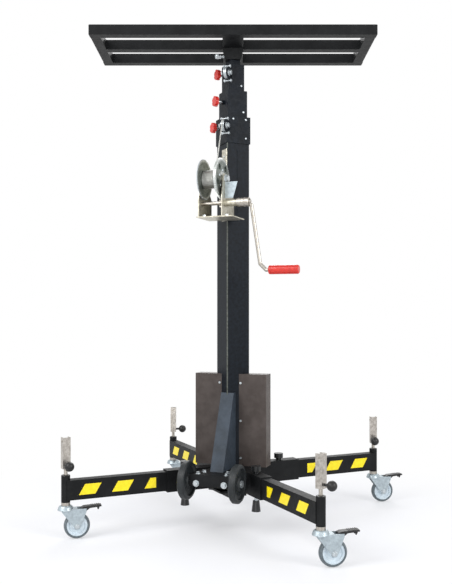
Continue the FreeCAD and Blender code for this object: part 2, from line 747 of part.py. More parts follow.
def winch_crank():
    centre = V(0, WINCH_Y, CRANK_Z)
    shaft = bar(CRANK_SHAFT_R, RIGHT, CHEEK_LEFT - 4, CRANK_HUB_END, centre)
    hub = bar(CRANK_HUB_R, RIGHT, CRANK_HUB_START, CRANK_HUB_END, centre)
    nut = bar(CRANK_HUB_R - 5, RIGHT, CRANK_HUB_END, CRANK_HUB_END + 7, centre)
    start = V(CRANK_HUB_END - 14, WINCH_Y, CRANK_Z)
    bend = V(CRANK_HUB_END + 10, WINCH_Y, CRANK_Z - 12)
    low = V(CRANK_HUB_END + CRANK_OFFSET, WINCH_Y, CRANK_Z - CRANK_THROW + CRANK_BEND)
    end = V(CRANK_HUB_END + CRANK_OFFSET + CRANK_BEND, WINCH_Y, CRANK_Z - CRANK_THROW)
    crank = shaft.fuse(hub).fuse(nut).fuse(winch_pinion())
    for a, b in ((start, bend), (bend, low), (low, end)):
        crank = crank.fuse(rod(CRANK_ROD_R, a, b)).fuse(Part.makeSphere(CRANK_ROD_R, b))
    tip = end + RIGHT * (GRIP_GAP + GRIP_LENGTH - 10)
    return crank.fuse(rod(CRANK_ROD_R, end, tip))


def crank_grip():
    x = CRANK_HUB_END + CRANK_OFFSET + CRANK_BEND + GRIP_GAP + CRANK_ROD_R
    centre = V(0, WINCH_Y, CRANK_Z - CRANK_THROW)
    grip = bar(GRIP_R, RIGHT, x, x + GRIP_LENGTH, centre)
    edges = [e for e in grip.Edges if len(e.Vertexes) == 1]
    grip = grip.makeFillet(6.0, edges)
    return grip.cut(bar(CRANK_ROD_R + RUN, RIGHT, x - 1, x + GRIP_LENGTH - 12, centre))


def wire_rope():
    top = V(0, sheave_y(0), section_top(0) - COLLAR_H + SHEAVE_Z)
    line_r = SHEAVE_R + 1.0
    drum = V(0, WINCH_Y, DRUM_Z)
    drum_r = WINDING_R + ROPE_R + RUN
    gap = top - drum
    lean = math.atan2(gap.y, gap.z) + math.asin((line_r - drum_r) / gap.Length)
    outward = V(0, -math.cos(lean), math.sin(lean))
    leave = top + outward * line_r
    run = rod(ROPE_R, drum + outward * drum_r, leave)
    tangent = RIGHT.cross(outward)
    disc = Part.Face(Part.Wire(Part.makeCircle(ROPE_R, leave, tangent)))
    over = disc.revolve(top, -RIGHT, 180 - math.degrees(lean))
    down = rod(ROPE_R, V(0, top.y + line_r, top.z - ROPE_TAIL), V(0, top.y + line_r, top.z))
    return run.fuse(over).fuse(down)


def fasteners():
    bolts = []
    for sign in (-1, 1):
        x = sign * (HOUSING_INNER + HOUSING_BOLT_INSET)
        for z in HOUSING_BOLT_HEIGHTS:
            bolts.append(bar(HOUSING_BOLT_R, -BACK, 0, HOUSING_BOLT_H, V(x, HOUSING_FRONT, z)))
    return Part.makeCompound(bolts)


def build():
    nodes = {
        "base_frame": base_frame(),
        "front_beam": front_beam(),
        "transport_axle": transport_axle(),
        "transport_wheel_left": transport_wheel(-1),
        "transport_wheel_right": transport_wheel(1),
        "mast_brace": mast_brace(),
        "housing_left": side_housing(-1),
        "housing_right": side_housing(1),
        "mast_tube_1": mast_tube(0),
        "mast_tube_2": inner_section(1),
        "mast_tube_3": inner_section(2),
        "mast_tube_4": top_section(),
        "collar_1": collar(0, True),
        "collar_2": collar(1, False),
        "collar_3": collar(2, True),
        "sheave_1": sheave(0),
        "sheave_3": sheave(2),
        "platform_head": platform_head(),
        "platform_front_rail": platform_rail(-FRAME_D / 2),
        "platform_cross_rails": platform_cross_rails(),
        "platform_side_rails": Part.makeCompound([platform_side_rail(-1), platform_side_rail(1)]),
        "head_clamp": head_clamp(),
        "winch_frame": winch_frame(),
        "winch_drum": winch_drum(),
        "winch_gear": winch_gear(),
        "winch_crank": winch_crank(),
        "crank_grip": crank_grip(),
        "housing_bolts": fasteners(),
        "wire_rope": wire_rope(),
    }
    for index in range(3):
        nodes["lock_knob_%d" % (index + 1)] = lock_knob(index)
    for i, angle in enumerate(LEG_ANGLES):
        n = i + 1
        nodes["outrigger_%d" % n] = outrigger(angle)
        nodes["jack_screw_%d" % n] = jack_screw(angle, JACK_YAWS[i])
        nodes["jack_crank_%d" % n] = jack_crank(angle, JACK_YAWS[i])
        nodes["castor_fork_%d" % n] = castor_fork(angle, CASTOR_YAWS[i])
        nodes["castor_wheel_%d" % n] = castor_wheel(angle, CASTOR_YAWS[i])
        nodes["brake_pedal_%d" % n] = brake_pedal(angle, CASTOR_YAWS[i])
        nodes["stabiliser_%d" % n] = stabiliser(angle)
    return nodes


os.makedirs("parts", exist_ok=True)
for name, shape in build().items():
    shape.exportStep("parts/%s.step" % name)
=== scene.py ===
import math

import bmesh
import bpy
from mathutils import Matrix, Vector


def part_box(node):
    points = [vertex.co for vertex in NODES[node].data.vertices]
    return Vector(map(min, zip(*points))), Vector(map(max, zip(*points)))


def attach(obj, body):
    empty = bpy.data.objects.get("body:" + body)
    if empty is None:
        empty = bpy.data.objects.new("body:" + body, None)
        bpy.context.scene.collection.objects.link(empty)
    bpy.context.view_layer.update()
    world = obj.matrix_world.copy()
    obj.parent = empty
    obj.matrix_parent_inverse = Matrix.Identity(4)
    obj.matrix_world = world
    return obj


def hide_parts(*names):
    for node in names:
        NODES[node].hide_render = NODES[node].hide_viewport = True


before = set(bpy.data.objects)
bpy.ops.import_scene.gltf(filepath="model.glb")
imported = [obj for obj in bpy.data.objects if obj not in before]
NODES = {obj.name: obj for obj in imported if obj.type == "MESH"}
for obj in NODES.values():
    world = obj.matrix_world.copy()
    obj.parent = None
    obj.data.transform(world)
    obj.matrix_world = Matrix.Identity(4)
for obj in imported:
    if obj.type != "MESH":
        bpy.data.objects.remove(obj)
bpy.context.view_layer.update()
MM = 0.001
UP = Vector((0, 0, 1))
RIGHT = Vector((1, 0, 0))
BACK = Vector((0, 1, 0))
ROOT2 = math.sqrt(2)
SIDES = (("a", -1), ("b", 1))

# Camera, solved from the four equal outriggers
VIEW_TURN = math.radians(20)
VIEW_DISTANCE = 3.35
EYE_HEIGHT = 0.87
FOCAL_PX = 803.0
IMAGE_H = 584.0
SENSOR_H = 36.0
SHIFT_X = -0.012
SHIFT_Y = 0.031

# Studio, in metres: the point that the lamps aim at, and half the side of the floor
LAMP_AIM = Vector((0, 0, 0.95))
FLOOR_REACH = 14.0

# Meshes: the tiny hole at the pole of a turned piece, and the angle from which an edge is sharp
POLE_R = 0.0002
SHARP_ANGLE = math.radians(38)

# Outriggers, in metres and degrees, with the length of end sleeve below and above the tube
LEG_TURNS = [225.0, 315.0, 45.0, 135.0]
LEG_REACH = 0.702
LEG_HALF = 0.020
SLEEVE_BELOW = 0.008
SLEEVE_ABOVE = 0.016

# Castors and their brake pedals
CASTOR_TURNS = [35.0, 30.0, 30.0, 25.0]
TRAIL = 0.042
WHEEL_R = 0.050
WHEEL_HALF = 0.015
WHEEL_CLEAR = 0.0005
CROWN_DROP = 0.007
HUB_R = 0.040
AXLE_HOLE_R = 0.0063
FORK_OUTSIDE = 0.0215
PEDAL_PIN = 0.070
PEDAL_PIN_DROP = 0.017
PEDAL_HALF = 0.015
CLAW_APART = 0.009
CLAW_THICK = 0.004

# Jack cranks with their ball knobs
JACK_TURNS = [-40.0, -20.0, -70.0, 20.0]
ARM_FACE = 0.014
ARM_BALL_R = 0.0135
BALL_R = 0.0180
BALL_OUT = 0.0450
BALL_BEAD = 0.0004
BALL_STEPS = 20

# Jack threads, from a little above the sleeve to a little below the spindle's top
THREAD_ROOT = 0.00702
THREAD_CREST = 0.00725
THREAD_BORE = 0.0060
THREAD_PITCH = 0.004
THREAD_START = 0.003
THREAD_END = 0.014

# Lock knobs: the turn of their face, and how far the head stands off the collar
LOCK_TURN = 225.0
LOCK_HEAD_START = 0.0284

# Rivets on the collars: share of the half width, inset from the edges, and head
RIVET_EDGE = 0.62
RIVET_INSET = 0.022
RIVET_R = 0.0048

# Sheave nuts on the cheeks, and the keeper pins across them
SHEAVES = {1: "sheave_1", 3: "sheave_3"}
SHEAVE_NUT_START = 0.0106
KEEPER_NUT_START = 0.0108
KEEPER_R = 0.0034
KEEPER_HALF = 0.014
KEEPERS = (("over", 0.0285, 0.006), ("under", -0.0275, 0.016))

# Winch drum and gear
GEAR_MODULE = 0.0025
GEAR_TEETH = 64
PINION_TEETH = 13
GEAR_RIVETS = 5
GEAR_RIVET_CIRCLE = 0.034
FLANGE_R = 0.079
FLANGE_STEP = 0.006
OUTER_RIM_IN = 0.0015
INNER_RIM_IN = 0.0020
RIM_R = 0.0021
DRUM_LEFT = -0.062
DRUM_RIGHT = 0.009
WINDING_CORE = 0.0342
WINDING_INSET = 0.0035
WINDING_BORE = 0.030
ROPE_R = 0.0027

# Winch frame: its cheeks, the right cheek's wing, the tray and the bracket on the mast
LEFT_CHEEK_OUTSIDE = -0.0725
RIGHT_CHEEK_OUTSIDE = 0.0305
WING_ROOT = 0.0300
WING_LOW_TIP = 0.0640
WING_HIGH_TIP = 0.0830
WING_LOW = 1.3120
WING_HIGH = 1.3770
WING_FORWARD = 0.006
WING_THICK = 0.003
TRAY_THICK = 0.004
TRAY_BOLTS = ((-0.050, -0.196), (0.045, -0.196), (0.045, -0.110), (-0.050, -0.110))
BRACKET_FACE = 0.054
BRACKET_RIVET_OUT = 0.040
BRACKET_RIVET_HEIGHTS = (1.500, 1.450)

# Pawl, placed from the drum's axis and the crank's, and the boss on the crank's hub
PAWL_BACK = 0.014
PAWL_BOLT_BACK = 0.015
PAWL_RISE = 0.052
PAWL_THICK = 0.005
CRANK_BOSS_R = 0.0185
CRANK_BOSS_BORE = 0.0150
CRANK_BOSS_START = 0.080
CRANK_BOSS_END = 0.130
CRANK_BOSS_CHAMFER = 0.0015
SCREW_GROOVE_SHARE = 0.62
SCREW_GROOVE_DEPTH = 0.0012
SCREW_GROOVE_HALF = 0.0010

# Deck, axle beam and transport wheels
DECK_BOLTS = ((-0.060, -0.236), (0.060, -0.236), (-0.050, -0.195), (0.050, -0.195))
BEAM_BOLT_X = 0.058
BEAM_BOLT_Z = 0.196
WHEEL_RIBS = 3
WHEEL_RIB_R = 0.034
WHEEL_RIB_STEP = 0.009
WHEEL_FACE = 0.0089

# Lifting frame
FRAME_TURN = math.radians(20)
FRAME_HALF_W = 0.565
RAIL_MIDDLE = 0.180
RAIL_HALF = 0.020
PLUG_SHY = 0.0005
PLUG_PROUD = 0.0025

# Hazard patches: inner end, outer end, and the share of the slant kept at the inner end
PATCHES = [(0.346, 0.394, 0.0), (0.438, 0.526, 1.0), (0.568, 0.656, 1.0)]
PATCH_H = 0.040
PATCH_SLANT = 0.024
PATCH_THICK = 0.0004
LEAN_IN = [1, -1, -1, 1]

# Where a finish changes, in metres from the face that it belongs to
FINISH_EDGE = 0.0002

# Where a finish changes, in millimetres: the web of the winch's discs, which is painted dark as a painted
# reflection, the pale strip of painted highlight on the mast's front corner, the leg of its bracket, and
# the plated screw of a stabiliser between its foot and its knob
WEB_MIDDLE = 51.0
WEB_HALF = 25.5
WEB_BLUR = 9.0
PAINTED_HIGHLIGHT_WIDTH = 2.6
BRACKET_LEG_START = 1.0
SCREW_LOW = 122.2
SCREW_HIGH = 230.0

# Specular level of the paint on the mast and its bracket
PAINT_GLOSS = 0.12

# Places read from the frame
GEAR_LOW, GEAR_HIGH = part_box("winch_gear")
DRUM_CENTRE = Vector((0, (GEAR_LOW.y + GEAR_HIGH.y) / 2, (GEAR_LOW.z + GEAR_HIGH.z) / 2))
CRANK_Z = DRUM_CENTRE.z - GEAR_MODULE * (GEAR_TEETH + PINION_TEETH) / 2


def radial(turn):
    """The level direction at a turn in degrees from +X."""
    return Vector((math.cos(math.radians(turn)), math.sin(math.radians(turn)), 0))


def leg_ends():
    """Number and end of each outrigger, the end as a point on the floor."""
    for n, turn in enumerate(LEG_TURNS, 1):
        yield n, radial(turn) * LEG_REACH


def middle_of(name):
    """Centre of a node's box at rest."""
    low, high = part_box(name)
    return (low + high) / 2


def collar_half(name):
    """Half the side of a square collar, which is turned so that a corner points forward."""
    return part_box(name)[1].x / ROOT2


def srgb(code):
    """A hex colour as linear red, green, blue and alpha."""
    channels = [int(code[i:i + 2], 16) / 255 for i in (1, 3, 5)]
    return [c / 12.92 if c <= 0.04045 else ((c + 0.055) / 1.055) ** 2.4 for c in channels] + [1.0]


def node(tree, kind, settings=None, links=None):
    """Adds a node, sets its properties and sockets, and links the named inputs."""
    made = tree.nodes.new(kind)
    for key, value in (settings or {}).items():
        if isinstance(key, str) and hasattr(made, key) and key not in made.inputs:
            setattr(made, key, value)
        else:
            made.inputs[key].default_value = value
    for key, source in (links or {}).items():
        tree.links.new(source, made.inputs[key])
    return made


def blank_material(name):
    """A new material and its empty node tree."""
    material = bpy.data.materials.new(name)
    material.use_nodes = True
    material.node_tree.nodes.clear()
    return material, material.node_tree


def start_material(name, metallic, roughness, settings=None):
    """A new material with its shader, and object coordinates scaled to millimetres."""
    material, tree = blank_material(name)
    finish = {"Metallic": metallic, "Roughness": roughness, **(settings or {})}
    shader = node(tree, "ShaderNodeBsdfPrincipled", finish)
    node(tree, "ShaderNodeOutputMaterial", links={"Surface": shader.outputs["BSDF"]})
    place = node(tree, "ShaderNodeTexCoord").outputs["Object"]
    millimetres = node(tree, "ShaderNodeMapping", {"Scale": (1000, 1000, 1000)}, {"Vector": place})
    return material, tree, shader, millimetres.outputs["Vector"]


def mottle(tree, place, size, detail=4.0):
    """Noise whose blobs are about size millimetres across."""
    settings = {"Scale": 1.0 / size, "Detail": detail, "Roughness": 0.6}
    return node(tree, "ShaderNodeTexNoise", settings, {"Vector": place}).outputs["Fac"]


def between(tree, factor, low, high, stops=(0.35, 0.65)):
    """A colour that runs from low to high as the factor passes its two stops."""
    ramp = node(tree, "ShaderNodeValToRGB", links={"Fac": factor})
    for element, stop, code in zip(ramp.color_ramp.elements, stops, (low, high)):
        element.position = stop
        element.color = srgb(code)
    return ramp.outputs["Color"]


def spread(tree, factor, low, high):
    """A number that runs from low to high over the middle of the noise."""
    settings = {"From Min": 0.3, "From Max": 0.7, "To Min": low, "To Max": high}
    return node(tree, "ShaderNodeMapRange", settings, {"Value": factor}).outputs["Result"]


def dents(tree, shader, height, depth, strength):
    """Bump of a real depth in millimetres."""
    settings = {"Strength": strength, "Distance": depth * MM}
    bump = node(tree, "ShaderNodeBump", settings, {"Height": height})
    tree.links.new(bump.outputs["Normal"], shader.inputs["Normal"])


def beyond(tree, place, axis, limit):
    """One where a point lies further along the axis than the limit in millimetres, and nought elsewhere."""
    settings = {"operation": "DOT_PRODUCT", 1: tuple(axis)}
    along = node(tree, "ShaderNodeVectorMath", settings, {0: place}).outputs["Value"]
    return node(tree, "ShaderNodeMath", {"operation": "GREATER_THAN", 1: limit}, {0: along}).outputs[0]


def both(tree, one, other):
    """The product of two factors: where both are masks, one where they overlap."""
    return node(tree, "ShaderNodeMath", {"operation": "MULTIPLY"}, {0: one, 1: other}).outputs[0]


def powder_coat(name, low, high, roughness, gloss=0.3):
    """Powder-coated steel: a leathery orange peel that breaks the highlight, drawn at 1.6 mm to show."""
    settings = {"IOR": 1.5, "Specular IOR Level": gloss}
    material, tree, shader, place = start_material(name, 0.0, roughness, settings)
    colour = between(tree, mottle(tree, place, 60.0), low, high)
    tree.links.new(colour, shader.inputs["Base Color"])
    peel = mottle(tree, place, 1.6, 3.0)
    rough = spread(tree, mottle(tree, place, 12.0), roughness - 0.06, roughness + 0.08)
    tree.links.new(rough, shader.inputs["Roughness"])
    dents(tree, shader, peel, 0.25, 0.45)
    return material


def zinc_plate(name, low, high, roughness=0.32, metallic=0.75):
    """Bright zinc plating: a cloudy grey metal with a soft sheen and a faint grain from the press."""
    material, tree, shader, place = start_material(name, metallic, roughness)
    colour = between(tree, mottle(tree, place, 11.0, 5.0), low, high, (0.25, 0.75))
    tree.links.new(colour, shader.inputs["Base Color"])
    rough = spread(tree, mottle(tree, place, 5.0), roughness - 0.08, roughness + 0.12)
    tree.links.new(rough, shader.inputs["Roughness"])
    dents(tree, shader, mottle(tree, place, 2.2, 2.0), 0.12, 0.3)
    return material


def turned_zinc(name, web, polished, centre):
    """Zinc-plated discs spun on a lathe, with fine rings 1 to 3 mm apart. The web between hub and rim
    is painted dark in clouds, a painted dark reflection; the hub, the rim and the gear's teeth keep the
    bright zinc."""
    material, tree, shader, place = start_material(name, 0.8, 0.3)
    settings = {"operation": "SUBTRACT", 1: tuple(centre / MM)}
    away = node(tree, "ShaderNodeVectorMath", settings, {0: place}).outputs[0]
    settings = {"operation": "MULTIPLY", 1: (0, 1, 1)}
    flat = node(tree, "ShaderNodeVectorMath", settings, {0: away}).outputs[0]
    radius = node(tree, "ShaderNodeVectorMath", {"operation": "LENGTH"}, {0: flat}).outputs["Value"]
    settings = {"noise_dimensions": "1D", "Scale": 0.45, "Detail": 3.0}
    rings = node(tree, "ShaderNodeTexNoise", settings, {"W": radius}).outputs["Fac"]
    clouds = both(tree, rings, mottle(tree, place, 30.0))
    # The web's colour is a painted dark reflection, clouded by the rings and the noise
    painted_dark_reflection = between(tree, clouds, *web, (0.14, 0.36))
    bright = between(tree, rings, *polished, (0.3, 0.7))
    settings = {"operation": "SUBTRACT", 1: WEB_MIDDLE}
    from_web = node(tree, "ShaderNodeMath", settings, {0: radius}).outputs[0]
    reach = node(tree, "ShaderNodeMath", {"operation": "ABSOLUTE"}, {0: from_web}).outputs[0]
    settings = {"From Min": WEB_HALF - WEB_BLUR, "From Max": WEB_HALF}
    edge = node(tree, "ShaderNodeMapRange", settings, {"Value": reach}).outputs["Result"]
    mixed = node(tree, "ShaderNodeMix", {"data_type": "RGBA"}, {0: edge, 6: painted_dark_reflection, 7: bright})
    tree.links.new(mixed.outputs[2], shader.inputs["Base Color"])
    tree.links.new(spread(tree, rings, 0.2, 0.42), shader.inputs["Roughness"])
    dents(tree, shader, rings, 0.15, 0.4)
    return material


def two_finishes(name, masked, plain, mask, gloss=0.5):
    """Two finishes on one piece, each low colour, high colour, metallic and roughness. The mask picks
    the first."""
    material, tree, shader, place = start_material(name, 0.0, 0.4, {"Specular IOR Level": gloss})
    pick = mask(tree, place)
    cloud = mottle(tree, place, 12.0)
    colours = [between(tree, cloud, finish[0], finish[1]) for finish in (plain, masked)]
    mixed = node(tree, "ShaderNodeMix", {"data_type": "RGBA"}, {0: pick, 6: colours[0], 7: colours[1]})
    tree.links.new(mixed.outputs[2], shader.inputs["Base Color"])
    for socket, k in (("Metallic", 2), ("Roughness", 3)):
        settings = {"To Min": plain[k], "To Max": masked[k]}
        level = node(tree, "ShaderNodeMapRange", settings, {"Value": pick}).outputs["Result"]
        tree.links.new(level, shader.inputs[socket])
    dents(tree, shader, mottle(tree, place, 1.6, 3.0), 0.15, 0.35)
    return material


def brushed_tube(name, low, high):
    """Drawn stainless tube: fine lines along its length, 0.7 mm apart so that they show."""
    material, tree, shader, place = start_material(name, 1.0, 0.3)
    along = node(tree, "ShaderNodeMapping", {"Scale": (1.0, 1.0, 0.03)}, {"Vector": place})
    lines = mottle(tree, along.outputs["Vector"], 0.7, 2.0)
    tree.links.new(between(tree, lines, low, high), shader.inputs["Base Color"])
    tree.links.new(spread(tree, lines, 0.22, 0.42), shader.inputs["Roughness"])
    dents(tree, shader, lines, 0.05, 0.3)
    return material


def moulded(name, low, high, roughness, grain=1.2, depth=0.08, coat=0.0):
    """Moulded plastic or rubber: even colour with a spark-eroded grain and a few rubbed patches."""
    settings = {"Coat Weight": coat, "IOR": 1.46}
    material, tree, shader, place = start_material(name, 0.0, roughness, settings)
    tree.links.new(between(tree, mottle(tree, place, 14.0), low, high), shader.inputs["Base Color"])
    rough = spread(tree, mottle(tree, place, 6.0), roughness - 0.07, roughness + 0.1)
    tree.links.new(rough, shader.inputs["Roughness"])
    dents(tree, shader, mottle(tree, place, grain, 2.0), depth, 0.4)
    return material


def wire_rope_steel():
    """Galvanised wire rope: strands laid slantwise 3 mm apart, with painted shade that darkens the valleys
    between them.
    """
    material, tree, shader, place = start_material("galvanised_wire_rope", 0.85, 0.4)
    settings = {"Scale": 0.34, "Distortion": 0.0, "bands_direction": "DIAGONAL", "wave_type": "BANDS"}
    strands = node(tree, "ShaderNodeTexWave", settings, {"Vector": place}).outputs["Fac"]
    # The dark end of the bands is painted shade in the valleys between the strands
    tree.links.new(between(tree, strands, "#84847f", "#e6e6e1", (0.1, 0.7)), shader.inputs["Base Color"])
    dents(tree, shader, strands, 0.5, 0.7)
    return material


# Colours that a whole piece and part of another share
MAST_PAINT = ("#0d1116", "#161c23")
BRIGHT_ZINC = ("#a9b1b5", "#d6dcde")

BLACK = powder_coat("powder_coat_black", "#101112", "#1a1b1c", 0.5, 0.16)
MAST_BLACK = powder_coat("powder_coat_mast", *MAST_PAINT, 0.46, PAINT_GLOSS)
BROWN = powder_coat("powder_coat_umber", "#3d3531", "#4d4541", 0.44)
SLATE = powder_coat("powder_coat_slate", "#2c343c", "#3a434d", 0.55)
ZINC = zinc_plate("zinc_plate", *BRIGHT_ZINC)
BLUE_ZINC = zinc_plate("zinc_plate_blue", "#929da3", "#bcc8cd", 0.38, 0.6)
TUBE = brushed_tube("drawn_stainless", "#9d978e", "#c6c1b9")
RED = moulded("abs_red", "#b91c10", "#d02b1c", 0.32, coat=0.3)
HARD_BLACK = moulded("nylon_black", "#101010", "#1c1c1c", 0.4)
TYRE = moulded("rubber_grey", "#535c60", "#687175", 0.5, 2.0)
HUB = moulded("nylon_pale_grey", "#bccad2", "#d5e0e5", 0.36)
RUBBER = moulded("rubber_black", "#14181a", "#202527", 0.5, 1.6, 0.12)
YELLOW = moulded("vinyl_yellow", "#efd500", "#fbe408", 0.38, 0.9, 0.03, 0.2)
ROPE = wire_rope_steel()
# The first pair of colours is the painted dark reflection on the discs' web; the second is the bright zinc
TURNED = turned_zinc("turned_zinc", ("#4e5650", "#a3aaa4"), ("#b4b9b5", "#f1f3f1"), DRUM_CENTRE)

# Finishes for two_finishes: low colour, high colour, metallic and roughness
WARM_ZINC_LOOK = ("#aaa493", "#d2cebf", 0.75, 0.36)
PAINT_LOOK = (*MAST_PAINT, 0.0, 0.46)
# A pale painted highlight for the mast's front corner, in place of the light that the edge catches
PAINTED_HIGHLIGHT_LOOK = ("#484b44", "#696c65", 0.0, 0.42)
STEEL_LOOK = ("#9c968f", "#c3beb7", 0.85, 0.3)
ZINC_LOOK = (*BRIGHT_ZINC, 0.75, 0.32)
KNOB_LOOK = ("#101112", "#1c1e20", 0.0, 0.3)
RED_LOOK = ("#b81f15", "#d02c22", 0.0, 0.32)

FINISHES = {
    "mast_tube": MAST_BLACK, "collar": MAST_BLACK, "sheave": ZINC, "wire_rope": ROPE,
    "housing_left": BROWN, "housing_right": BROWN, "housing_bolts": ZINC, "mast_brace": SLATE,
    "winch_drum": TURNED, "winch_gear": TURNED, "winch_crank": TUBE, "crank_grip": RED,
    "castor_fork": BLUE_ZINC, "castor_wheel": TYRE, "brake_pedal": HARD_BLACK, "jack_screw": TUBE,
    "transport_axle": ZINC, "transport_wheel": RUBBER, "head_clamp": ZINC,
}


def dress(name, material):
    """Gives a CAD node its material."""
    NODES[name].data.materials.clear()
    NODES[name].data.materials.append(material)


def past(axis, limit):
    """A mask for two_finishes: one further along the axis than the limit in millimetres."""
    def mask(tree, place):
        return beyond(tree, place, axis, limit)

    return mask


def finish_cad_nodes():
    """One finish on each CAD node, black powder coat where none is named."""
    for name in NODES:
        dress(name, next((m for start, m in FINISHES.items() if name.startswith(start)), BLACK))


def finish_painted_bracket():
    """The winch's bracket is painted with the mast on its right leg and left in yellowed zinc elsewhere."""
    face = radial(315.0)

    def right_leg(tree, place):
        outside = beyond(tree, place, -face, -(BRACKET_FACE + FINISH_EDGE) / MM)
        return both(tree, outside, beyond(tree, place, RIGHT, BRACKET_LEG_START))

    looks = two_finishes("winch_frame_finish", PAINT_LOOK, WARM_ZINC_LOOK, right_leg, PAINT_GLOSS)
    dress("winch_frame", looks)


def finish_outer_tube():
    """The mast's paint, with a pale strip of painted highlight along its front corner."""
    front = -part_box("mast_tube_1")[0].y / MM
    # The strip of painted highlight along the front corner
    corner = past(-BACK, front - PAINTED_HIGHLIGHT_WIDTH)
    looks = two_finishes("mast_tube_1_painted_highlight", PAINTED_HIGHLIGHT_LOOK, PAINT_LOOK, corner, PAINT_GLOSS)
    dress("mast_tube_1", looks)


def finish_jack_cranks():
    """Drawn steel channel with a black ball knob and stem, which start at the channel's web."""
    for n, end in leg_ends():
        axis = radial(JACK_TURNS[n - 1])
        stem = past(axis, (end.dot(axis) + ARM_FACE + FINISH_EDGE) / MM)
        looks = two_finishes("jack_crank_finish_%d" % n, KNOB_LOOK, STEEL_LOOK, stem)
        dress("jack_crank_%d" % n, looks)


def finish_lock_knobs():
    """Red moulded head on a zinc-plated stem."""
    for n in (1, 2, 3):
        start = collar_half("collar_%d" % n) + LOCK_HEAD_START - FINISH_EDGE
        head = past(radial(LOCK_TURN), start / MM)
        dress("lock_knob_%d" % n, two_finishes("lock_knob_finish_%d" % n, RED_LOOK, ZINC_LOOK, head))


def finish_stabilisers():
    """Black knob and foot on a plated screw."""
    def screw(tree, place):
        over_foot = beyond(tree, place, UP, SCREW_LOW)
        return both(tree, over_foot, beyond(tree, place, -UP, -SCREW_HIGH))

    material = two_finishes("stabiliser_finish", ZINC_LOOK, KNOB_LOOK, screw)
    for n in (1, 2, 3, 4):
        dress("stabiliser_%d" % n, material)


def piece(name, mesh, material, body, round_mm=0.0, smooth=True):
    """A finished mesh object that rides on a body."""
    made = bpy.data.objects.new(name, mesh)
    bpy.context.scene.collection.objects.link(made)
    mesh.materials.append(material)
    if smooth:
        mesh.shade_smooth()
        mesh.set_sharp_from_angle(angle=SHARP_ANGLE)
    if round_mm:
        bevel = made.modifiers.new("round", "BEVEL")
        bevel.width = round_mm * MM
        bevel.segments = 2
        bevel.limit_method = "ANGLE"
    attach(made, body)
    return made


def axis_matrix(centre, axis):
    """A place whose local Z lies along the axis."""
    turn = UP.rotation_difference(Vector(axis).normalized())
    return Matrix.Translation(centre) @ turn.to_matrix().to_4x4()


def closed_mesh(name, build):
    """The mesh of a closed form, with its faces turned outward."""
    bmesh.ops.recalc_face_normals(build, faces=build.faces)
    mesh = bpy.data.meshes.new(name)
    build.to_mesh(mesh)
    build.free()
    return mesh


def lathe_mesh(profile, centre, axis, steps=64):
    """A closed ring of revolution from (radius, height) pairs about an axis."""
    build = bmesh.new()
    place = axis_matrix(centre, axis)
    rings = []
    for i in range(steps):
        turn = 2 * math.pi * i / steps
        ring = [place @ Vector((r * math.cos(turn), r * math.sin(turn), z)) for r, z in profile]
        rings.append([build.verts.new(point) for point in ring])
    for here, after in zip(rings, rings[1:] + rings[:1]):
        for j in range(len(profile)):
            k = (j + 1) % len(profile)
            build.faces.new((here[j], after[j], after[k], here[k]))
    return closed_mesh("turned", build)


def prism_mesh(outline, thickness, origin, along, up):
    """A flat outline in (along, up) from the origin, made thick on the side that along cross up faces."""
    out = along.cross(up)
    build = bmesh.new()
    near = [build.verts.new(origin + along * x + up * y) for x, y in outline]
    far = [build.verts.new(origin + along * x + up * y + out * thickness) for x, y in outline]
    build.faces.new(near)
    build.faces.new(list(reversed(far)))
    for i in range(len(outline)):
        k = (i + 1) % len(outline)
        build.faces.new((near[k], near[i], far[i], far[k]))
    return closed_mesh("plate", build)


def hex_bolt(name, centre, axis, across, height, body, washer=True):
    """A hexagon head with a rounded crown, and a washer under it."""
    corner = across / 2 / math.cos(math.pi / 6)
    outline = [(corner * math.cos(math.pi / 3 * i), corner * math.sin(math.pi / 3 * i)) for i in range(6)]
    axis = Vector(axis).normalized()
    along = axis.orthogonal().normalized()
    lift = height * 0.22 if washer else 0.0
    head = prism_mesh(outline, height, Vector(centre) + axis * lift, along, axis.cross(along))
    piece(name, head, ZINC, body, 0.7)
    if washer:
        hole, foot, top = across * 0.2, across * 0.78, across * 0.74
        ring = [(hole, 0.0), (foot, 0.0), (top, lift), (hole, lift)]
        piece(name + "_washer", lathe_mesh(ring, centre, axis, 36), ZINC, body)


def rivet(name, centre, axis, radius, body):
    """A domed rivet head, sunk a little into its face."""
    rise = radius * 0.55
    sunk = 0.0003
    steps = 6
    profile = []
    for i in range(steps):
        turn = math.pi / 2 * i / steps
        profile.append((radius * math.cos(turn), rise * math.sin(turn)))
    profile += [(POLE_R, rise), (POLE_R, -sunk), (radius, -sunk)]
    piece(name, lathe_mesh(profile, centre, axis, 28), ZINC, body)


def hazard_patches():
    """Slanted yellow patches on both sides of each outrigger's tube."""
    for n, turn in enumerate(LEG_TURNS, 1):
        outward = radial(turn)
        across = UP.cross(outward)
        low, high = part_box("outrigger_%d" % n)
        middle = (low.z + SLEEVE_BELOW + high.z - SLEEVE_ABOVE) / 2
        half = PATCH_H / 2 * LEAN_IN[n - 1]
        for tag, sign in SIDES:
            origin = across * sign * LEG_HALF + UP * middle
            for j, (inner, outer, share) in enumerate(PATCHES, 1):
                outline = [
                    (inner + PATCH_SLANT * share, -half), (outer, -half), (outer - PATCH_SLANT, half),
                    (inner, half),
                ]
                mesh = prism_mesh(outline, -sign * PATCH_THICK, origin, outward, UP)
                name = "hazard_patch_%d_%s_%d" % (n, tag, j)
                piece(name, mesh, YELLOW, "base", smooth=False)


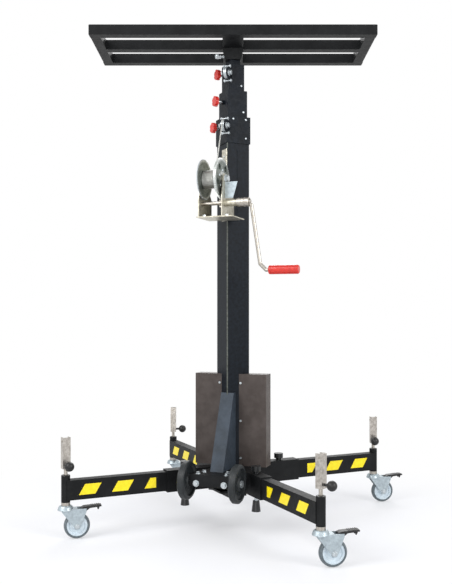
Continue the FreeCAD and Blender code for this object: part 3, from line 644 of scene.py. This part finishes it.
def castors():
    """Wheel, axle nuts and pressed swivel cup of each castor."""
    for n, end in leg_ends():
        trail = radial(CASTOR_TURNS[n - 1])
        axle = Vector((-trail.y, trail.x, 0))
        centre = end + trail * TRAIL + UP * WHEEL_R
        castor_wheel(n, centre, axle)
        for tag, sign in SIDES:
            name = "axle_nut_%d_%s" % (n, tag)
            spot = centre + axle * sign * FORK_OUTSIDE
            hex_bolt(name, spot, axle * sign, 0.013, 0.006, "castor_%d" % n)
        swivel_cup(n, end)


def castor_wheel(n, centre, axle):
    """A crowned grey tyre on a pale hub with a sunk web, in place of the plain wheel."""
    steps = 7
    tyre = []
    for k in range(-steps, steps + 1):
        t = k / steps
        tyre.append((WHEEL_R - WHEEL_CLEAR - CROWN_DROP * (abs(t) ** 2.6), WHEEL_HALF * t))
    lip = HUB_R + 0.001
    seat = WHEEL_HALF - 0.003
    tyre += [(lip, WHEEL_HALF), (HUB_R, seat), (HUB_R, -seat), (lip, -WHEEL_HALF)]
    boss = WHEEL_HALF + 0.002
    rim = WHEEL_HALF - 0.004
    web = rim - 0.003
    hub = [
        (AXLE_HOLE_R, -boss), (0.0120, -boss), (0.0145, -WHEEL_HALF), (0.0160, -web),
        (0.0290, -web), (0.0310, -rim), (HUB_R - 0.001, -rim - 0.001), (HUB_R, -rim + 0.001),
    ]
    hub += [(r, -z) for r, z in reversed(hub)]
    body = "wheel_%d" % n
    rubber = piece("tyre_%d" % n, lathe_mesh(tyre, centre, axle, 96), TYRE, body)
    core = piece("hub_%d" % n, lathe_mesh(hub, centre, axle, 96), HUB, body)
    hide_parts("castor_wheel_%d" % n)
    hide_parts("castor_wheel_%d" % n)


def swivel_cup(n, end):
    """The pressed cup over the castor's ball race, as (radius, height) from the fork's top."""
    cup = [
        (0.0205, -0.0006), (0.0222, 0.0000), (0.0250, -0.0022), (0.0278, -0.0068), (0.0292, -0.0122),
        (0.0306, -0.0142), (0.0306, -0.0168), (0.0290, -0.0168), (0.0205, -0.0040),
    ]
    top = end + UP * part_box("castor_fork_%d" % n)[1].z
    piece("swivel_cup_%d" % n, lathe_mesh(cup, top, UP, 72), BLUE_ZINC, "castor_%d" % n)


def pedal_outline():
    """Side of the brake pedal about its pin: a hub, a nearly level ribbed tread and a turned-down tip."""
    rib_h = 0.0014
    points = [(-0.013, -0.002), (-0.012, 0.006), (-0.004, 0.0105), (0.014, 0.0120)]
    for k in range(5):
        x = 0.024 + 0.007 * k
        y = 0.0125 + 0.0004 * k
        points += [(x, y), (x + 0.001, y + rib_h), (x + 0.0035, y + rib_h), (x + 0.0045, y)]
    points += [(0.0635, 0.0140), (0.0640, 0.0085), (0.0560, 0.0075), (0.0200, 0.0040)]
    return points + [(0.0070, -0.0060), (-0.0050, -0.0060)]


def brake_pedals():
    """Moulded pedals in place of the plain ones, with two claws under the tip."""
    claw = [(0.046, 0.0075), (0.058, 0.0082), (0.0535, -0.0030), (0.0500, -0.0035)]
    for n, end in leg_ends():
        body = "pedal_%d" % n
        trail = radial(CASTOR_TURNS[n - 1])
        across = UP.cross(trail)
        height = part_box("castor_fork_%d" % n)[1].z - PEDAL_PIN_DROP
        pin = end + trail * PEDAL_PIN + UP * height
        tread = prism_mesh(pedal_outline(), PEDAL_HALF * 2, pin + across * PEDAL_HALF, trail, UP)
        pedal = piece("pedal_tread_%d" % n, tread, HARD_BLACK, body, 0.6)
        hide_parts("brake_pedal_%d" % n)
        for tag, sign in SIDES:
            origin = pin + across * (sign * CLAW_APART + CLAW_THICK / 2)
            mesh = prism_mesh(claw, CLAW_THICK, origin, trail, UP)
            piece("pedal_claw_%d_%s" % (n, tag), mesh, HARD_BLACK, body, 0.4)


def jack_threads():
    """Thread on each jack's spindle, and the moulded cap of the sleeve that it runs in."""
    cap = [(0.0085, 0.0), (0.0165, 0.0), (0.0170, 0.0012), (0.0160, 0.0030), (0.0090, 0.0034)]
    for n, end in leg_ends():
        sleeve_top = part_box("outrigger_%d" % n)[1].z
        low = sleeve_top + THREAD_START
        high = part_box("jack_screw_%d" % n)[1].z - THREAD_END
        turns = int((high - low) / THREAD_PITCH)
        top = low + THREAD_PITCH * turns
        profile = []
        for j in range(turns):
            z = low + THREAD_PITCH * j
            profile += [(THREAD_ROOT, z), (THREAD_CREST, z + THREAD_PITCH * 0.5)]
        profile += [(THREAD_ROOT, top), (THREAD_BORE, top), (THREAD_BORE, low)]
        piece("jack_thread_%d" % n, lathe_mesh(profile, end, UP, 32), TUBE, "jack_%d" % n)
        cap_mesh = lathe_mesh(cap, end + UP * sleeve_top, UP, 48)
        piece("sleeve_cap_%d" % n, cap_mesh, HARD_BLACK, "base")


def crank_balls():
    """Moulded ball knobs with a parting bead round the middle, over the plain balls of the jack cranks."""
    for n, end in leg_ends():
        axis = radial(JACK_TURNS[n - 1])
        arm_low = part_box("jack_crank_%d" % n)[0]
        centre = end + axis * BALL_OUT + UP * (arm_low.z + ARM_BALL_R)
        profile = []
        for k in range(BALL_STEPS + 1):
            tilt = math.pi * (k / BALL_STEPS - 0.5)
            bead = BALL_BEAD if k == BALL_STEPS // 2 else 0.0
            profile.append((max(POLE_R, (BALL_R + bead) * math.cos(tilt)), BALL_R * math.sin(tilt)))
        ball = lathe_mesh(profile, centre, axis, 48)
        piece("crank_ball_%d" % n, ball, HARD_BLACK, "arm_%d" % n)


def mast_details():
    """Rivets on the collars' side and back faces, and the fasteners of the two visible sheaves."""
    for n, body in enumerate(("base", "section_2", "section_3"), 1):
        name = "collar_%d" % n
        low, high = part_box(name)
        half = collar_half(name)
        spots = [(RIVET_EDGE, low.z + RIVET_INSET)]
        if n == 1:
            near_top = high.z - RIVET_INSET / 2
            spots += [(RIVET_EDGE, near_top), (-RIVET_EDGE * 0.7, near_top)]
        for face_turn in (315, 45, 135):
            face = radial(face_turn)
            along = UP.cross(face)
            for k, (shift, z) in enumerate(spots):
                spot = face * half + along * half * shift + UP * z
                rivet("collar_rivet_%d_%d_%d" % (n, face_turn, k), spot, face, RIVET_R, body)
        if n in SHEAVES:
            sheave_fasteners(n, middle_of(SHEAVES[n]), body)


def sheave_fasteners(n, centre, body):
    """Nuts of the sheave's axle, and two plated pins across its cheeks that keep the rope in its groove."""
    for tag, sign in SIDES:
        spot = Vector((SHEAVE_NUT_START * sign, centre.y, centre.z))
        hex_bolt("sheave_nut_%d_%s" % (n, tag), spot, RIGHT * sign, 0.017, 0.009, body)
    pin = [(POLE_R, -KEEPER_HALF), (KEEPER_R, -KEEPER_HALF), (KEEPER_R, KEEPER_HALF), (POLE_R, KEEPER_HALF)]
    for where, rise, back in KEEPERS:
        place = centre + UP * rise + BACK * back
        piece("keeper_pin_%d_%s" % (n, where), lathe_mesh(pin, place, RIGHT, 32), ZINC, body)
        for tag, sign in SIDES:
            name = "keeper_nut_%d_%s_%s" % (n, where, tag)
            spot = place + RIGHT * sign * KEEPER_NUT_START
            hex_bolt(name, spot, RIGHT * sign, 0.012, 0.006, body, washer=False)


def drum_fasteners():
    """Nuts of the drum's axle on both cheeks, and rivets that hold the gear to its flange."""
    for (tag, sign), x in zip(SIDES, (LEFT_CHEEK_OUTSIDE, RIGHT_CHEEK_OUTSIDE)):
        spot = (x, DRUM_CENTRE.y, DRUM_CENTRE.z)
        hex_bolt("drum_bolt_" + tag, spot, RIGHT * sign, 0.022, 0.011, "base")
    for k in range(GEAR_RIVETS):
        turn = 2 * math.pi * k / GEAR_RIVETS
        y = DRUM_CENTRE.y + GEAR_RIVET_CIRCLE * math.sin(turn)
        z = DRUM_CENTRE.z + GEAR_RIVET_CIRCLE * math.cos(turn)
        rivet("gear_rivet_%d" % k, Vector((GEAR_HIGH.x, y, z)), RIGHT, 0.0060, "drum")


def winch_pawl():
    """Pawl on the right cheek, over the crank, as an outline in (back, up) about its pivot."""
    outline = [
        (-0.012, -0.010), (0.014, -0.012), (0.030, 0.000), (0.034, 0.012), (0.022, 0.008), (0.004, 0.012),
        (-0.010, 0.010),
    ]
    z = CRANK_Z + PAWL_RISE
    origin = Vector((RIGHT_CHEEK_OUTSIDE, DRUM_CENTRE.y + PAWL_BACK, z))
    piece("winch_pawl", prism_mesh(outline, PAWL_THICK, origin, BACK, UP), ZINC, "base", 0.8)
    spot = (RIGHT_CHEEK_OUTSIDE + PAWL_THICK, DRUM_CENTRE.y + PAWL_BOLT_BACK, z)
    hex_bolt("pawl_bolt", spot, RIGHT, 0.013, 0.006, "base")


def cheek_wing():
    """Pressed wing that stands out from the right cheek, wider at the top."""
    outline = [
        (WING_ROOT, WING_LOW), (WING_LOW_TIP, WING_LOW), (WING_HIGH_TIP, WING_HIGH), (WING_ROOT, WING_HIGH),
    ]
    origin = Vector((0, DRUM_CENTRE.y - WING_FORWARD, 0))
    mesh = prism_mesh(outline, WING_THICK, origin, RIGHT, UP)
    piece("cheek_wing", mesh, BLUE_ZINC, "base", 0.8)


def crank_boss():
    """Turned steel boss over the crank's hub, with chamfered ends and a set-screw groove."""
    length = CRANK_BOSS_END - CRANK_BOSS_START
    neck = CRANK_BOSS_R - CRANK_BOSS_CHAMFER
    groove = length * SCREW_GROOVE_SHARE
    sleeve = [
        (CRANK_BOSS_BORE, 0.0), (neck, 0.0), (CRANK_BOSS_R, CRANK_BOSS_CHAMFER), (CRANK_BOSS_R, groove),
        (CRANK_BOSS_R - SCREW_GROOVE_DEPTH, groove + SCREW_GROOVE_HALF),
        (CRANK_BOSS_R, groove + SCREW_GROOVE_HALF * 2), (CRANK_BOSS_R, length - CRANK_BOSS_CHAMFER),
        (neck, length), (CRANK_BOSS_BORE, length),
    ]
    start = Vector((CRANK_BOSS_START, DRUM_CENTRE.y, CRANK_Z))
    piece("crank_boss", lathe_mesh(sleeve, start, RIGHT, 64), TUBE, "crank")


def rope_winding():
    """The layer of wire rope that shows on the drum, turn beside turn."""
    left = DRUM_LEFT + WINDING_INSET
    right = DRUM_RIGHT - WINDING_INSET
    turns = int((right - left) / (2 * ROPE_R))
    pitch = (right - left) / turns
    outline = []
    for k in range(turns):
        middle = left + pitch * (k + 0.5)
        for step in range(5):
            bend = math.pi * (1 - step / 4)
            radius = WINDING_CORE + ROPE_R * 0.8 * math.sin(bend)
            outline.append((radius, middle + pitch / 2 * math.cos(bend)))
    outline += [(WINDING_BORE, right), (WINDING_BORE, left)]
    piece("rope_winding", lathe_mesh(outline, DRUM_CENTRE, RIGHT, 72), ROPE, "drum")


def flange_rims():
    """Rolled edges of the drum's two flanges, of which the inner one is smaller."""
    rims = (
        ("outer", DRUM_LEFT + OUTER_RIM_IN, FLANGE_R),
        ("inner", DRUM_RIGHT - INNER_RIM_IN, FLANGE_R - FLANGE_STEP),
    )
    for tag, x, radius in rims:
        ring = []
        for k in range(8):
            turn = math.pi / 4 * k
            ring.append((radius + RIM_R * math.cos(turn), x + RIM_R * math.sin(turn)))
        piece("flange_rim_" + tag, lathe_mesh(ring, DRUM_CENTRE, RIGHT, 96), ZINC, "drum")


def winch_mounting():
    """Bolts through the winch's tray, and rivets on its bracket's left leg."""
    tray_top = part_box("winch_frame")[0].z + TRAY_THICK
    for k, (x, y) in enumerate(TRAY_BOLTS):
        hex_bolt("tray_bolt_%d" % k, (x, y, tray_top), UP, 0.012, 0.006, "base")
    face = radial(LOCK_TURN)
    along = face * BACK.dot(face) - BACK
    for k, z in enumerate(BRACKET_RIVET_HEIGHTS):
        spot = face * BRACKET_FACE + along * BRACKET_RIVET_OUT + UP * z
        rivet("bracket_rivet_%d" % k, spot, face, RIVET_R, "base")


def base_details():
    """Bolts on the deck and the axle's beam, and moulded ribs on both faces of the transport wheels."""
    low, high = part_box("front_beam")
    for k, (x, y) in enumerate(DECK_BOLTS):
        hex_bolt("deck_bolt_%d" % k, (x, y, high.z), UP, 0.013, 0.006, "base")
    for tag, sign in SIDES:
        spot = (sign * BEAM_BOLT_X, low.y, BEAM_BOLT_Z)
        hex_bolt("beam_bolt_" + tag, spot, -BACK, 0.017, 0.008, "base")
    for hand in ("left", "right"):
        centre = middle_of("transport_wheel_" + hand)
        for k in range(WHEEL_RIBS):
            r = WHEEL_RIB_R + WHEEL_RIB_STEP * k
            rib = [(r - 0.0012, 0.0), (r + 0.0012, 0.0), (r + 0.0008, 0.0014), (r - 0.0008, 0.0014)]
            for tag, sign in SIDES:
                mesh = lathe_mesh(rib, centre + RIGHT * sign * WHEEL_FACE, RIGHT * sign, 72)
                name = "wheel_rib_%s_%d_%s" % (hand, k, tag)
                piece(name, mesh, RUBBER, "transport_" + hand)


def frame_details():
    """Black end plugs in the long rails of the lifting frame."""
    along = Vector((math.cos(FRAME_TURN), math.sin(FRAME_TURN), 0))
    across = UP.cross(along)
    rail_low, rail_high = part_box("platform_front_rail")
    middle = (rail_low.z + rail_high.z) / 2
    half = RAIL_HALF - PLUG_SHY
    outline = [(-half, -half), (half, -half), (half, half), (-half, half)]
    for where, y in (("front", -RAIL_MIDDLE), ("rear", RAIL_MIDDLE)):
        for tag, sign in SIDES:
            origin = along * sign * FRAME_HALF_W + across * y + UP * middle
            mesh = prism_mesh(outline, PLUG_PROUD * sign, origin, across, UP)
            piece("rail_plug_%s_%s" % (where, tag), mesh, HARD_BLACK, "platform", 1.0)


def seen_rays(tree):
    """One for rays that show the background to the camera, straight or in metal and glass."""
    rays = node(tree, "ShaderNodeLightPath")
    through = {0: rays.outputs["Is Glossy Ray"], 1: rays.outputs["Is Transmission Ray"]}
    mirrored = node(tree, "ShaderNodeMath", {"operation": "MAXIMUM"}, through).outputs[0]
    links = {0: rays.outputs["Is Camera Ray"], 1: mirrored}
    return node(tree, "ShaderNodeMath", {"operation": "MAXIMUM"}, links).outputs[0]


def studio():
    """Soft cool light all round, a white background, and four large lamps."""
    world = bpy.data.worlds.new("studio")
    bpy.context.scene.world = world
    world.use_nodes = True
    tree = world.node_tree
    tree.nodes.clear()
    light = node(tree, "ShaderNodeBackground", {"Color": (0.9, 0.93, 1.0, 1.0), "Strength": 0.62})
    white = node(tree, "ShaderNodeBackground", {"Color": (1.0, 1.0, 1.0, 1.0), "Strength": 1.0})
    links = {0: seen_rays(tree), 1: light.outputs[0], 2: white.outputs[0]}
    mixed = node(tree, "ShaderNodeMixShader", links=links)
    node(tree, "ShaderNodeOutputWorld", links={"Surface": mixed.outputs[0]})
    lamps = [
        ("key_lamp", (-2.2, -3.4, 3.4), 2.4, 120.0),
        ("side_lamp", (3.8, -1.6, 2.2), 1.8, 75.0),
        ("low_lamp", (0.6, -4.4, 0.7), 2.2, 38.0),
        ("back_lamp", (-1.0, 3.6, 3.0), 2.2, 60.0),
    ]
    for name, place, size, power in lamps:
        data = bpy.data.lights.new(name, "AREA")
        data.size = size
        data.energy = power
        lamp = bpy.data.objects.new(name, data)
        lamp.location = place
        lamp.rotation_euler = (LAMP_AIM - Vector(place)).to_track_quat("-Z", "Y").to_euler()
        bpy.context.scene.collection.objects.link(lamp)


def studio_paper():
    """White paper that keeps the shadow by the object and fades to plain white further out."""
    material, tree = blank_material("studio_paper")
    paper = node(tree, "ShaderNodeBsdfDiffuse", {"Color": srgb("#f4f4f6")})
    white = node(tree, "ShaderNodeEmission", {"Color": (1, 1, 1, 1), "Strength": 1.0})
    place = node(tree, "ShaderNodeTexCoord").outputs["Object"]
    away = node(tree, "ShaderNodeVectorMath", {"operation": "LENGTH"}, {0: place}).outputs["Value"]
    settings = {
        "interpolation_type": "SMOOTHSTEP", "From Min": 0.5, "From Max": 1.5, "To Min": 0.35, "To Max": 1.0,
    }
    fade = node(tree, "ShaderNodeMapRange", settings, {"Value": away}).outputs["Result"]
    amount = both(tree, fade, seen_rays(tree))
    links = {0: amount, 1: paper.outputs[0], 2: white.outputs[0]}
    mixed = node(tree, "ShaderNodeMixShader", links=links)
    node(tree, "ShaderNodeOutputMaterial", links={"Surface": mixed.outputs[0]})
    return material


def floor():
    """A wide sheet of studio paper under the object."""
    mesh = bpy.data.meshes.new("floor")
    build = bmesh.new()
    bmesh.ops.create_grid(build, x_segments=2, y_segments=2, size=FLOOR_REACH)
    build.to_mesh(mesh)
    build.free()
    ground = bpy.data.objects.new("floor", mesh)
    bpy.context.scene.collection.objects.link(ground)
    mesh.materials.append(studio_paper())


def camera():
    """A level camera in front, a little to the right, as the photograph was taken."""
    data = bpy.data.cameras.new("camera")
    data.sensor_fit = "VERTICAL"
    data.sensor_height = SENSOR_H
    data.lens = FOCAL_PX / IMAGE_H * SENSOR_H
    data.shift_x = SHIFT_X
    data.shift_y = SHIFT_Y
    data.clip_end = 100.0
    view = bpy.data.objects.new("camera", data)
    view.location = (math.sin(VIEW_TURN) * VIEW_DISTANCE, -math.cos(VIEW_TURN) * VIEW_DISTANCE, EYE_HEIGHT)
    view.rotation_euler = (math.pi / 2, 0, VIEW_TURN)
    bpy.context.scene.collection.objects.link(view)
    bpy.context.scene.camera = view


camera()
studio()
floor()
finish_cad_nodes()
finish_painted_bracket()
finish_outer_tube()
finish_jack_cranks()
finish_lock_knobs()
finish_stabilisers()
hazard_patches()
castors()
brake_pedals()
jack_threads()
crank_balls()
mast_details()
drum_fasteners()
winch_pawl()
cheek_wing()
crank_boss()
rope_winding()
flange_rims()
winch_mounting()
base_details()
frame_details()
bpy.context.scene.view_settings.view_transform = "Standard"
